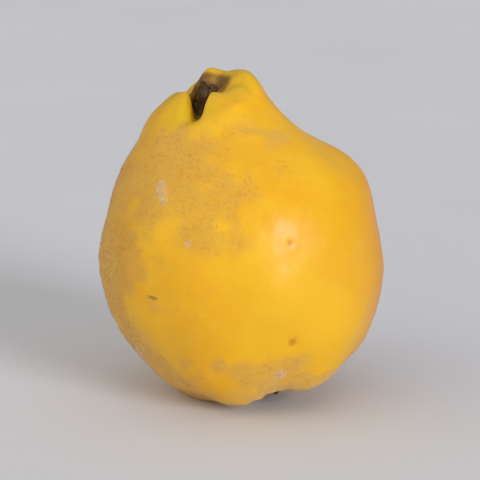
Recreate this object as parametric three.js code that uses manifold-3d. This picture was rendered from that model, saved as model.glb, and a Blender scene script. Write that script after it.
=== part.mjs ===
// A ripe quince, as picked, standing on the small flat spot beside its blossom end.
//
// Frame: millimetres, +Z up, the surface it stands on at Z = 0, its front towards -Y, and the
// origin under the middle of its bounding box. The fruit leans to its left (-X) and back (+Y).
//
// The fruit itself is one solid. Its outline is revolved, and the round body is then given what a
// real quince has: fleshy lobes and a deep cleft round the stem, five ribs round the eye at the
// blossom end, and a neck that sits a little off the middle. The other solids are what grows on
// it: the woody stub of the stem, five withered sepals, and the dried stamens in the eye.

import * as THREE from "three";
import { mergeVertices } from "three/addons/utils/BufferGeometryUtils.js";
import Module from "manifold-3d";

const wasm = await Module();
wasm.setup();

const { sin, cos, exp, PI } = Math;
const RAD = PI / 180;

// ---- Driving dimensions -------------------------------------------------------------------

// The outline's knots, from the floor of the eye to the floor of the stem hollow, in the fruit's
// own frame: its axis is Z and its widest round is near Z = 0. Each knot is
// [radius, height, heading in degrees from straight outwards, reach back, reach on].
const KNOTS = {
  eyeFloor: [0, -33.0, 0, 0, 2.6],
  eyeLip: [5.2, -36.6, -30, 1.2, 3.5],
  baseRim: [15.5, -42.0, 0, 4.5, 8.0],
  belly: [42.0, 1.5, 90, 20.0, 18.0],
  waist: [20.6, 38.8, 128, 13.5, 6.5],
  neckRim: [8.2, 52.5, 180, 5.0, 1.9],
  hollowWall: [4.1, 47.5, 268, 2.4, 3.2],
  hollowFloor: [0, 42.0, 180, 3.0, 0],
};

// In the cleft the outline leaves out the rim: it runs through the side of the neck straight to
// the hollow's floor.
const CLEFT_KNOTS = {
  ...KNOTS,
  neckRim: [11.8, 40.7, 174, 3.2, 2.0],
  hollowWall: [4.1, 41.8, 180, 1.6, 1.6],
};

const ROWS = [4, 6, 12, 10, 8, 5, 4]; // steps along each stretch between two knots
const COLUMNS = 64; // steps round the axis, closer together near the cleft
const CROWDING = 0.5;

const CLEFT = {
  angle: -107 * RAD,
  halfWidth: 3.15,
  wider: 1.2, // low down it opens out on its right
  squareness: 5,
};
const NECK = {
  lobes: 3, // fleshy lobes round the hollow: one each side of the cleft, one opposite
  lobeSwell: 0.9,
  highSide: 75 * RAD, // where the rim stands highest
  rimTilt: 2.6,
  sideSwell: 3.3, // the neck is fuller on its right
  waistShift: -2.3, // how far the waist sits off the axis, to the right
  rimShift: 2.5, // and how far the rim does
};
// Where the rim is higher or lower than its tilt makes it: heading, spread, rise.
const RIM_RISES = [
  { angle: -56, spread: 28, rise: -3.0 }, // the low lobe beside the cleft
  { angle: 140, spread: 34, rise: -2.6 },
  { angle: 75, spread: 14, rise: 1.6 }, // the ridge behind the stem
];
const BASE = { ribs: 5, ribSwell: 1.1, ribDrop: 0.7, ribAngle: 238 * RAD };

// Where the round body swells (a positive rise) or is flatter (a negative one): heading round
// the axis, height, how far it spreads both ways, and its rise.
const SWELLS = [
  { angle: -8, height: 17, spread: 42, reach: 13, rise: 2.2 }, // the full right shoulder
  { angle: -14, height: -30, spread: 48, reach: 18, rise: 3.6 }, // and the full foot below it
  { angle: 195, height: -12, spread: 50, reach: 10, rise: 0.6 }, // the lower left
  { angle: 200, height: -34, spread: 50, reach: 9, rise: 2.0 },
  { angle: 70, height: 8, spread: 45, reach: 26, rise: 0.9 },
  { angle: 130, height: -6, spread: 40, reach: 30, rise: -1.0 },
  { angle: -60, height: -12, spread: 40, reach: 22, rise: 0.7 },
];

const STANCE = { leanLeft: 14 * RAD, leanBack: 12 * RAD, flatDepth: 2.8 };

const CLEARANCE = 0.3; // between a piece and the flesh it grows from

const STEM = {
  foot: new THREE.Vector3(-1.6, -1.6, 41.6),
  tip: new THREE.Vector3(4.9, -0.4, 52.6),
  radius: 2.4,
  footSwell: 0.3,
  ridges: 7,
  ridgeDepth: 0.18,
  snapSlope: 0.3,
};

const SEPAL = {
  count: 5,
  rootRadius: 4.3,
  rootHeight: -37.2,
  length: 7.2,
  width: 4.2,
  thickness: 0.8,
};
// Each sepal's own habit: which way its root leaves the eye, in degrees below level, how many
// degrees it curls by its tip, and its share of the full length.
const SEPAL_HABITS = [
  { dip: 62, curl: 40, share: 0.95 },
  { dip: 60, curl: 24, share: 0.7 },
  { dip: 76, curl: 50, share: 0.8 },
  { dip: 58, curl: 30, share: 0.8 },
  { dip: 68, curl: 30, share: 0.62 },
];

const TUFT = {
  radius: 2.4,
  filaments: 11,
  filamentRadius: 0.42,
  filamentLength: 4.2,
  splay: 24 * RAD,
  footHeight: -34.5,
};

// ---- Helpers --------------------------------------------------------------------------------

// 0 at the first end, 1 at the other, and smooth between them; the ends may run either way.
function smoothstep(from, to, x) {
  const share = THREE.MathUtils.clamp((x - from) / (to - from), 0, 1);
  return share * share * (3 - 2 * share);
}
const bump = (x, centre, width) => exp(-(((x - centre) / width) ** 2));
const degreesApart = (a, b) => Math.acos(cos(a - b)) / RAD;

// A closed geometry as a manifold-3d solid, and back.
function toSolid(geometry) {
  const bare = new THREE.BufferGeometry();
  bare.setAttribute("position", geometry.getAttribute("position"));
  bare.setIndex(geometry.getIndex());
  const merged = mergeVertices(bare, 1e-4);
  return new wasm.Manifold(
    new wasm.Mesh({
      numProp: 3,
      vertProperties: new Float32Array(merged.getAttribute("position").array),
      triVerts: new Uint32Array(merged.getIndex().array),
    }),
  );
}

function toGeometry(solid) {
  const mesh = solid.getMesh();
  const geometry = new THREE.BufferGeometry();
  geometry.setAttribute("position", new THREE.BufferAttribute(mesh.vertProperties, 3));
  geometry.setIndex(new THREE.BufferAttribute(mesh.triVerts, 1));
  geometry.computeVertexNormals();
  return geometry;
}

// Moves every vertex of a geometry with a function of its place.
function reshape(geometry, move) {
  const position = geometry.getAttribute("position");
  const point = new THREE.Vector3();
  for (let i = 0; i < position.count; i++) {
    point.fromBufferAttribute(position, i);
    move(point, i);
    position.setXYZ(i, point.x, point.y, point.z);
  }
  return geometry;
}

function namedMesh(name, geometry, material) {
  const mesh = new THREE.Mesh(geometry, material);
  mesh.name = name;
  return mesh;
}

// ---- The fruit --------------------------------------------------------------------------------

// Cubic curves through the knots, each stretch cut into its own number of steps.
function outlinePoints(knots) {
  const list = Object.values(knots);
  const along = ([, , heading], reach) =>
    new THREE.Vector2(cos(heading * RAD), sin(heading * RAD)).multiplyScalar(reach);
  const points = [new THREE.Vector2(list[0][0], list[0][1])];
  ROWS.forEach((steps, i) => {
    const [from, to] = [list[i], list[i + 1]];
    const start = new THREE.Vector2(from[0], from[1]);
    const end = new THREE.Vector2(to[0], to[1]);
    const curve = new THREE.CubicBezierCurve(
      start,
      start.clone().add(along(from, from[4])),
      end.clone().sub(along(to, to[3])),
      end,
    );
    points.push(...curve.getPoints(steps).slice(1));
  });
  return points;
}

const OUTLINE = outlinePoints(KNOTS);
const CLEFT_OUTLINE = outlinePoints(CLEFT_KNOTS);

// How strongly a swelling is felt at an angle round the axis and a height.
function swellAt({ angle, height, spread, reach, rise }, heading, z) {
  return rise * bump(degreesApart(heading, angle * RAD), 0, spread) * bump(z, height, reach);
}

// Where the fruit's surface lies at a row of the outline and an angle round the axis.
function fruitPoint(row, angle, point) {
  const open = OUTLINE[row];
  const cleft = CLEFT_OUTLINE[row];
  const atBase = row < OUTLINE.length / 2;

  // Inside the cleft the open outline gives way to the low one.
  const wider = CLEFT.wider * (1 - smoothstep(40, 50, open.y));
  const offset = open.x * sin(angle - CLEFT.angle) - wider;
  const across = Math.abs(offset / (CLEFT.halfWidth + wider));
  const facing = atBase ? 0 : smoothstep(0, 0.5, cos(angle - CLEFT.angle));
  const inCleft = facing * exp(-(across ** CLEFT.squareness));
  let radius = THREE.MathUtils.lerp(open.x, cleft.x, inCleft);
  let height = THREE.MathUtils.lerp(open.y, cleft.y, inCleft);

  // The lobes and the tilt of the rim fade out down the neck and into the hollow.
  const rim = atBase ? 0 : smoothstep(38, 50, open.y) * smoothstep(2, 7, open.x);
  radius -= NECK.lobeSwell * rim * cos(NECK.lobes * (angle - CLEFT.angle));
  let tilt = NECK.rimTilt * cos(angle - NECK.highSide);
  RIM_RISES.forEach((at) => (tilt += at.rise * bump(degreesApart(angle, at.angle * RAD), 0, at.spread)));
  height += tilt * rim * (1 - inCleft);

  // Five ribs rise towards the eye, and the grooves between them run down into it.
  const rib = cos(BASE.ribs * (angle - BASE.ribAngle));
  radius += BASE.ribSwell * rib * smoothstep(-14, -36, open.y) * smoothstep(4, 14, open.x);
  const onRim = atBase ? smoothstep(4, 12, open.x) * smoothstep(30, 18, open.x) : 0;
  height -= BASE.ribDrop * rib * onRim;

  // No side of the body is quite like another.
  const onBody = smoothstep(10, 20, open.x);
  SWELLS.forEach((swell) => (radius += onBody * swellAt(swell, angle, open.y)));

  // The neck is fuller on one side and sits off the axis.
  const onNeck = atBase ? 0 : smoothstep(22, 40, open.y) * smoothstep(2, 7, open.x);
  radius += NECK.sideSwell * onNeck * bump(degreesApart(angle, 0), 0, 48);
  const atRim = smoothstep(42, 53, open.y) * smoothstep(3, 8, open.x);
  const shift = NECK.waistShift * bump(open.y, 34, 9) + NECK.rimShift * atRim;
  point.set(radius * cos(angle) + (atBase ? 0 : shift), radius * sin(angle), height);
}

function fruitSolid(tilt) {
  // The revolved outline gives the net of faces: vertex i is row i % rows of column i / rows.
  const net = new THREE.LatheGeometry(OUTLINE, COLUMNS);
  const rows = OUTLINE.length;
  reshape(net, (point, i) => {
    const turn = ((Math.floor(i / rows) % COLUMNS) / COLUMNS) * 2 * PI;
    fruitPoint(i % rows, CLEFT.angle + turn - CROWDING * sin(turn), point);
  });
  const whole = toSolid(net);

  // The flat spot: the lowest bulge of the leaning fruit is shaved off level.
  const lowest = Math.min(...heightsOf(toGeometry(whole), tilt));
  const floor = lowest + STANCE.flatDepth;
  const slab = new THREE.BoxGeometry(200, 200, 60).translate(0, 0, floor - 30);
  slab.applyMatrix4(tilt.clone().invert());
  const socket = toSolid(stemGeometry(CLEARANCE));
  return { solid: whole.subtract(toSolid(slab)).subtract(socket), floor };
}

function heightsOf(geometry, tilt) {
  const heights = [];
  reshape(geometry.clone(), (point) => heights.push(point.applyMatrix4(tilt).z));
  return heights;
}

// ---- The stem's stub ----------------------------------------------------------------------------

// With a clearance it gives the stub's socket, which is that much bigger all round.
function stemGeometry(clearance = 0) {
  const { foot, tip, footSwell, ridges, ridgeDepth, snapSlope } = STEM;
  const radius = STEM.radius + clearance;
  const length = foot.distanceTo(tip) + 2 * clearance;
  const rows = 12;
  const profile = [new THREE.Vector2(0, 0)];
  for (let i = 0; i <= rows; i++) {
    const share = i / rows;
    const swell = footSwell * bump(share, 0, 0.25) + 0.2 * bump(share, 1, 0.2);
    profile.push(new THREE.Vector2(radius + swell, share * length));
  }
  profile.push(new THREE.Vector2(0, length - 0.8));
  const turn = new THREE.Quaternion().setFromUnitVectors(
    new THREE.Vector3(0, 1, 0),
    tip.clone().sub(foot).normalize(),
  );
  const shaft = new THREE.LatheGeometry(profile, 24);
  return reshape(shaft, (point) => {
    // Bark ridges run up the side, and the snapped end is higher on one side.
    const angle = Math.atan2(point.z, point.x);
    const ridged = 1 - (ridgeDepth / radius) * (1 + sin(ridges * angle));
    point.set(point.x * ridged, point.y, point.z * ridged);
    point.y -= clearance + snapSlope * smoothstep(0.8, 1, point.y / length) * (radius + point.x);
    point.applyQuaternion(turn).add(foot);
  });
}

// ---- What is left of the flower --------------------------------------------------------------------

// A sepal is a thin pointed blade, rooted on the lip of the eye and curled along its length.
function sepalGeometry(index) {
  const { dip, curl, share } = SEPAL_HABITS[index];
  const length = SEPAL.length * share;
  const blade = new THREE.SphereGeometry(1, 12, 12);
  reshape(blade, (point) => {
    const along = (1 - point.y) / 2; // 0 at the root, 1 at the tip
    const width = (SEPAL.width / 2) * (1 - 0.55 * along);
    const side = point.x * width;
    const rise = point.z * (SEPAL.thickness / 2) + 0.22 * side * side * (0.4 + along);
    // The blade follows an arc: it starts at the dip and turns by the curl on the way.
    const turned = curl * RAD * along;
    const radius = length / (curl * RAD);
    const out = radius * sin(turned);
    const drop = radius * (1 - cos(turned));
    point.set(out - rise * sin(turned), side, drop + rise * cos(turned));
  });
  return blade
    .rotateY(dip * RAD)
    .translate(SEPAL.rootRadius, 0, SEPAL.rootHeight)
    .rotateZ(BASE.ribAngle + ((index + 0.5) / SEPAL.count) * 2 * PI);
}

// The stamens have dried into one tuft: a low cushion with stiff filaments standing out of it.
function tuftSolid() {
  const cushion = new THREE.SphereGeometry(TUFT.radius, 14, 8)
    .rotateX(PI / 2)
    .scale(1, 1, 0.25)
    .translate(0, 0, TUFT.footHeight);
  let solid = toSolid(cushion);
  for (let i = 0; i < TUFT.filaments; i++) {
    const ring = i === 0 ? 0 : 0.42 + 0.25 * (i % 2);
    const angle = i * 2.4; // about the golden angle, so that no two stand in line
    const length = TUFT.filamentLength * (0.8 + 0.07 * (i % 4));
    const filament = new THREE.CylinderGeometry(
      TUFT.filamentRadius,
      TUFT.filamentRadius * 0.6,
      length,
      6,
    )
      .translate(0, -length / 2, 0)
      .rotateX(PI / 2)
      .rotateY(-TUFT.splay * (ring + 0.2 * sin(3 * i)))
      .translate(ring * TUFT.radius, 0, TUFT.footHeight)
      .rotateZ(angle);
    solid = solid.add(toSolid(filament));
  }
  return solid;
}

// ---- Assembly ------------------------------------------------------------------------------------

const skin = new THREE.MeshStandardMaterial({ color: 0xecb420, roughness: 0.45, metalness: 0 });
const bark = new THREE.MeshStandardMaterial({ color: 0x4d3a22, roughness: 0.9, metalness: 0 });
const withered = new THREE.MeshStandardMaterial({ color: 0x3a2f1a, roughness: 0.95, metalness: 0 });

const stance = new THREE.Euler(-STANCE.leanBack, -STANCE.leanLeft, 0, "XYZ");
const tilt = new THREE.Matrix4().makeRotationFromEuler(stance);
const { solid: fruit, floor } = fruitSolid(tilt);

const leaning = new THREE.Group();
leaning.rotation.copy(stance);
leaning.position.z = -floor;
leaning.add(namedMesh("fruit", toGeometry(fruit), skin));
leaning.add(namedMesh("stem_stub", stemGeometry(), bark));
for (let i = 0; i < SEPAL.count; i++) {
  leaning.add(namedMesh(`sepal_${i + 1}`, sepalGeometry(i), withered));
}
leaning.add(namedMesh("stamen_tuft", toGeometry(tuftSolid()), withered));

// The origin goes under the middle of the bounding box.
const quince = new THREE.Group();
quince.add(leaning);
quince.updateMatrixWorld(true);
const middle = new THREE.Box3().setFromObject(quince, true).getCenter(new THREE.Vector3());
leaning.position.x -= middle.x;
leaning.position.y -= middle.y;

export default quince;
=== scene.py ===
"""A ripe quince, as picked, standing on the small flat spot beside its blossom end.

The pieces are worked out in the fruit's own frame, in millimetres: its axis is Z, its widest round
is near Z = 0 and its front is towards -Y. They are then leaned over as the fruit stands, set down
on the ground and turned into metres.
"""

from math import radians

import bpy
import numpy as np
from bpy.props import FloatProperty, FloatVectorProperty, IntProperty, PointerProperty
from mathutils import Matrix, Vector


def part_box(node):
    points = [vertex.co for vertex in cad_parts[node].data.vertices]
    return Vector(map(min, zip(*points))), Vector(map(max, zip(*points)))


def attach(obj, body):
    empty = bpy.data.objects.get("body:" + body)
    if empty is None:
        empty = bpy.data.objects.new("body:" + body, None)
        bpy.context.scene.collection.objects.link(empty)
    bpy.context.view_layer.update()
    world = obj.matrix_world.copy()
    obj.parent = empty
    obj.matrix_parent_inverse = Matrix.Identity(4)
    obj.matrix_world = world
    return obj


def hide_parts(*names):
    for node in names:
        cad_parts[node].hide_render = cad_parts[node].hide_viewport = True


bl_info = {
    "name": "Quince",
    "version": (1, 0, 0),
    "blender": (4, 5, 0),
    "location": "3D View > Sidebar > Quince",
    "description": "Builds a ripe quince with its down, its stem stub and its withered flower",
    "category": "Add Mesh",
}

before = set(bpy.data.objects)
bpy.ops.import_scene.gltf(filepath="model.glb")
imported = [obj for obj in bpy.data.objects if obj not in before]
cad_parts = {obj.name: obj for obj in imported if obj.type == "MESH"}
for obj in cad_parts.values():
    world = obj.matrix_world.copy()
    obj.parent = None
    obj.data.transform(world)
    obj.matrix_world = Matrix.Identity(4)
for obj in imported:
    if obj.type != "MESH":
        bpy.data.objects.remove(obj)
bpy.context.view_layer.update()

MM = 0.001
TURN = 2 * np.pi
SEED = 20


# ---- The outline and what makes it a quince ---------------------------------------------------

# Knots of the outline, from the floor of the eye to the floor of the stem hollow:
# radius, height, heading in degrees from straight outwards, reach back, reach on.
OUTLINE_KNOTS = np.array([
    [0.0, -33.0, 0, 0.0, 2.6],  # floor of the eye
    [5.2, -36.6, -30, 1.2, 3.5],  # lip of the eye
    [15.5, -42.0, 0, 4.5, 8.0],  # foot of the base
    [42.0, 1.5, 90, 20.0, 18.0],  # belly
    [20.6, 38.8, 128, 13.5, 6.5],  # waist
    [8.2, 52.5, 180, 5.0, 1.9],  # rim of the neck
    [4.1, 47.5, 268, 2.4, 3.2],  # wall of the stem hollow
    [0.0, 42.0, 180, 3.0, 0.0],  # floor of the stem hollow
])
# In the cleft the outline has no rim: it runs through the side of the neck to the hollow's floor.
CLEFT_KNOTS = OUTLINE_KNOTS.copy()
CLEFT_KNOTS[5] = [11.8, 40.7, 174, 3.2, 2.0]
CLEFT_KNOTS[6] = [4.1, 41.8, 180, 1.6, 1.6]

ROWS = [10, 20, 88, 72, 40, 20, 14]  # steps along each stretch between two knots
COLUMNS = 350  # steps round the axis
BASE_ROWS = sum(ROWS[:3])  # rows up to the belly

CROWDING = 0.55  # how much the columns crowd towards the cleft, above the waist

CLEFT_ANGLE = radians(-107)
CLEFT_SQUARENESS = 5  # the power that makes the cleft's floor flat and its walls steep
CLEFT_WIDENING = 1.2  # how much wider it is on its right, low down
RIB_ANGLE = radians(238)
RIB_DROP = 0.64  # how far a rib hangs down round the eye, as a share of its swell
HIGH_SIDE = radians(75)  # where the rim of the neck stands highest
RIM_TILT = 2.6
WAIST_SHIFT, NECK_SHIFT = -2.3, 2.5  # how far sideways the waist and the neck's top are moved

# Where the rim is higher or lower than its tilt makes it: angle, spread in degrees, rise.
RIM_RISES = np.array([[-56, 28, -3.0], [140, 34, -2.6], [75, 14, 1.6]])

# Broad swellings and flatter sides: angle round the axis, height, spread in degrees, reach up and
# down, rise.
SWELLS = np.array([
    [-8, 17, 42, 13, 2.2],  # the full right shoulder
    [-14, -30, 48, 18, 3.6],  # and the full foot below it
    [195, -12, 50, 10, 0.6],  # the lower left
    [200, -34, 50, 9, 2.0],
    [70, 8, 45, 26, 0.9],
    [130, -6, 40, 30, -1.0],
    [-60, -12, 40, 22, 0.7],
])

# Lumps all over the skin: their size, the seed of their places, their share of the unevenness.
LUMPS = ((26, 1, 1.0), (10, 2, 0.14), (4, 3, 0.06))
EYE_FURROW, HOLLOW_FURROW = 0.16, 0.05  # depths of the fine furrows in the eye and the hollow

# Shallow creases in the fleshy neck: angle, lowest height, highest height, half width, depth.
CREASES = np.array([
    [-30, 45, 56, 1.8, 1.2],
    [-8, 36, 52, 2.6, 0.4],
    [40, 38, 56, 2.2, 0.6],
    [95, 34, 56, 2.4, 0.7],
    [150, 40, 56, 2.0, 0.6],
])

# Fleshy knobs on the lobes beside the cleft: angle, height, radius, rise.
KNOBS = np.array([
    [-142, 47.5, 5.2, 1.2],
    [-172, 46.0, 4.5, 0.6],
    [-57, 45.5, 4.4, 1.2],
    [65, 49.0, 4.2, 0.6],
    [120, 48.0, 4.5, 0.6],
    [178, 47.0, 4.0, 0.5],
])

# Round dents where a bud or a hailstone has pressed the skin: angle, height, radius, depth.
DENTS = np.array([
    [-69, 1.0, 1.0, 0.28],
    [-74, -27.2, 1.7, 0.40],
    [-158, 3.0, 1.4, 0.25],
    [10, 6.0, 1.5, 0.30],
    [64, -14.0, 1.8, 0.40],
    [118, 12.0, 1.3, 0.30],
    [150, -20.0, 2.0, 0.40],
    [85, 24.0, 1.2, 0.25],
])

# Rubbed scars, long and slanting: angle, height, half length, half width, slant in degrees.
SCARS = np.array([
    [-130, -5.0, 2.4, 0.7, -25],
    [22, -10.0, 3.4, 0.8, 30],
    [98, 4.0, 4.2, 0.9, -50],
    [160, 14.0, 2.4, 0.7, 10],
])

# Where the down still clings: angle, height, spread in degrees, reach up and down, strength.
DOWN_PATCHES = np.array([
    [-118, 31, 44, 13, 1.25],  # down the front from the cleft
    [-106, 17, 24, 13, 1.0],
    [-96, 8, 12, 8, 0.75],
    [-160, 12, 26, 30, 1.25],  # the left flank
    [-165, -18, 24, 20, 0.9],
    [-146, -28, 20, 10, 0.9],
    [-52, 31, 26, 8, 0.65],
    [-95, -38, 30, 8, 0.95],  # the foot in front
    [40, 30, 40, 15, 0.9],  # and round the back
    [110, 20, 30, 22, 0.9],
    [75, -12, 20, 20, 0.6],
    [150, -26, 24, 12, 0.7],
])

# Loose tufts of lint: angle, height, radius.
LINT = np.array([
    [-119, 25.5, 1.3], [-118, 23.0, 1.1], [-117, 20.6, 0.9], [-108, 7.8, 0.8],
    [-163, -20.0, 1.6], [-166, -22.5, 1.6], [-82, -36.0, 1.3], [38, 40.0, 1.9], [82, 26.0, 1.6],
    [128, -8.0, 1.7], [172, 33.0, 1.5], [5, -36.0, 1.3], [60, -30.0, 1.4],
])


def smooth(low, high, x):
    """0 below low, 1 above high, and the smooth cubic 3t2 - 2t3 between them."""
    t = np.clip((x - low) / (high - low), 0, 1)
    return t * t * (3 - 2 * t)


def bump(x, centre, width):
    """A bell of height 1 round a centre: e to the minus ((x - centre) / width) squared."""
    return np.exp(-(((x - centre) / width) ** 2))


def apart(a, b):
    """The angle between two headings, in degrees, the short way round."""
    return np.abs((np.degrees(a - b) + 180) % 360 - 180)


def grain(points, size, seed, waves=28):
    """Random smooth lumps of about the given size: the sum of plane waves in random directions."""
    draw = np.random.default_rng(SEED + seed)
    direction = draw.normal(size=(waves, 3))
    direction /= np.linalg.norm(direction, axis=1, keepdims=True)
    pace = TURN / size * draw.uniform(0.6, 1.5, waves)
    phase = draw.uniform(0, TURN, waves)
    flat = points.reshape(-1, 3) @ (direction * pace[:, None]).T + phase
    return (np.cos(flat).sum(axis=1) * np.sqrt(2 / waves)).reshape(points.shape[:-1])


def outline(knots):
    """Cubic Bezier stretches through the knots, with the steps of ROWS: (radius, height) pairs."""
    heading = np.radians(knots[:, 2])
    way = np.stack([np.cos(heading), np.sin(heading)], axis=1)
    place = knots[:, :2]
    stretches = [place[:1]]
    for i, steps in enumerate(ROWS):
        t = np.linspace(0, 1, steps + 1)[1:, None]
        first, last = place[i], place[i + 1]
        leaving = first + way[i] * knots[i, 4]
        arriving = last - way[i + 1] * knots[i + 1, 3]
        stretches.append(
            (1 - t) ** 3 * first + 3 * (1 - t) ** 2 * t * leaving
            + 3 * (1 - t) * t**2 * arriving + t**3 * last
        )
    return np.concatenate(stretches)


def flesh(form):
    """The bare form of the fruit on a grid of rows (up the outline) by columns (round the axis).

    Each point is the outline turned round the axis, changed to the cleft's outline inside the
    cleft, then swollen and shifted. Gives the points, and each one's angle, and the height and
    radius it has on the bare outline.
    """
    open_line = outline(OUTLINE_KNOTS)
    cleft_line = outline(CLEFT_KNOTS)
    x, y = open_line[:, :1], open_line[:, 1:]
    upper = (np.arange(len(x)) >= BASE_ROWS)[:, None].astype(float)
    turn = np.arange(COLUMNS)[None] / COLUMNS * TURN
    crowding = CROWDING * upper * smooth(20, 40, y)
    angle = CLEFT_ANGLE + turn - crowding * np.sin(turn)

    wider = CLEFT_WIDENING * (1 - smooth(40, 50, y))
    across = np.abs((x * np.sin(angle - CLEFT_ANGLE) - wider) / (form.cleft_width / MM / 2 + wider))
    facing = upper * smooth(0, 0.5, np.cos(angle - CLEFT_ANGLE))
    in_cleft = facing * np.exp(-(across**CLEFT_SQUARENESS))
    radius = x + (cleft_line[:, :1] - x) * in_cleft
    height = y + (cleft_line[:, 1:] - y) * in_cleft

    rim = upper * smooth(38, 50, y) * smooth(2, 7, x)
    radius -= form.lobe_swell / MM * rim * np.cos(3 * (angle - CLEFT_ANGLE))
    tilt = RIM_TILT * np.cos(angle - HIGH_SIDE)
    for where, spread, rise in RIM_RISES:
        tilt = tilt + rise * bump(apart(angle, radians(where)), 0, spread)
    height += rim * (1 - in_cleft) * tilt

    rib = np.cos(5 * (angle - RIB_ANGLE))
    swell = form.rib_swell / MM
    radius += swell * rib * smooth(14, 36, -y) * smooth(4, 14, x)
    on_rim = (1 - upper) * smooth(4, 12, x) * (1 - smooth(18, 30, x))
    height -= RIB_DROP * swell * rib * on_rim

    body = smooth(10, 20, x)
    for where, at, spread, reach, rise in SWELLS:
        radius += rise * body * bump(apart(angle, radians(where)), 0, spread) * bump(y, at, reach)

    neck = upper * smooth(22, 40, y) * smooth(2, 7, x)
    radius += form.side_swell / MM * neck * bump(apart(angle, 0.0), 0, 48)

    shift = WAIST_SHIFT * bump(y, 34, 9) + NECK_SHIFT * smooth(42, 53, y) * smooth(3, 8, x)
    shift = upper * shift
    points = np.stack(
        [radius * np.cos(angle) + shift, radius * np.sin(angle), height + 0 * angle], axis=-1
    )
    points[0] = points[0].mean(axis=0)
    points[-1] = points[-1].mean(axis=0)
    return points, angle, y + 0 * angle, x + 0 * angle


def normals(points):
    """The outward unit normal at each point of a closed round grid: the cross product of the
    steps round and up."""
    around = np.roll(points, -1, axis=1) - np.roll(points, 1, axis=1)
    up = np.gradient(points, axis=0)
    n = np.cross(around, up)
    n[0] = n[1].mean(axis=0)
    n[-1] = n[-2].mean(axis=0)
    return n / np.maximum(np.linalg.norm(n, axis=-1, keepdims=True), 1e-12)


def near(angle, height, radius, where, at):
    """Distances, in millimetres round and up, from a place on the body given by angle and height."""
    round_way = np.radians((np.degrees(angle) - where + 180) % 360 - 180) * radius
    return round_way, height - at


def stance(form):
    """The turn that leans the fruit to its left and back, as a 3 by 3 matrix."""
    back, left = -form.lean_back, -form.lean_left
    about_x = np.array([
        [1, 0, 0],
        [0, np.cos(back), -np.sin(back)],
        [0, np.sin(back), np.cos(back)],
    ])
    about_y = np.array([
        [np.cos(left), 0, np.sin(left)],
        [0, 1, 0],
        [-np.sin(left), 0, np.cos(left)],
    ])
    return about_x @ about_y


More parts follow.
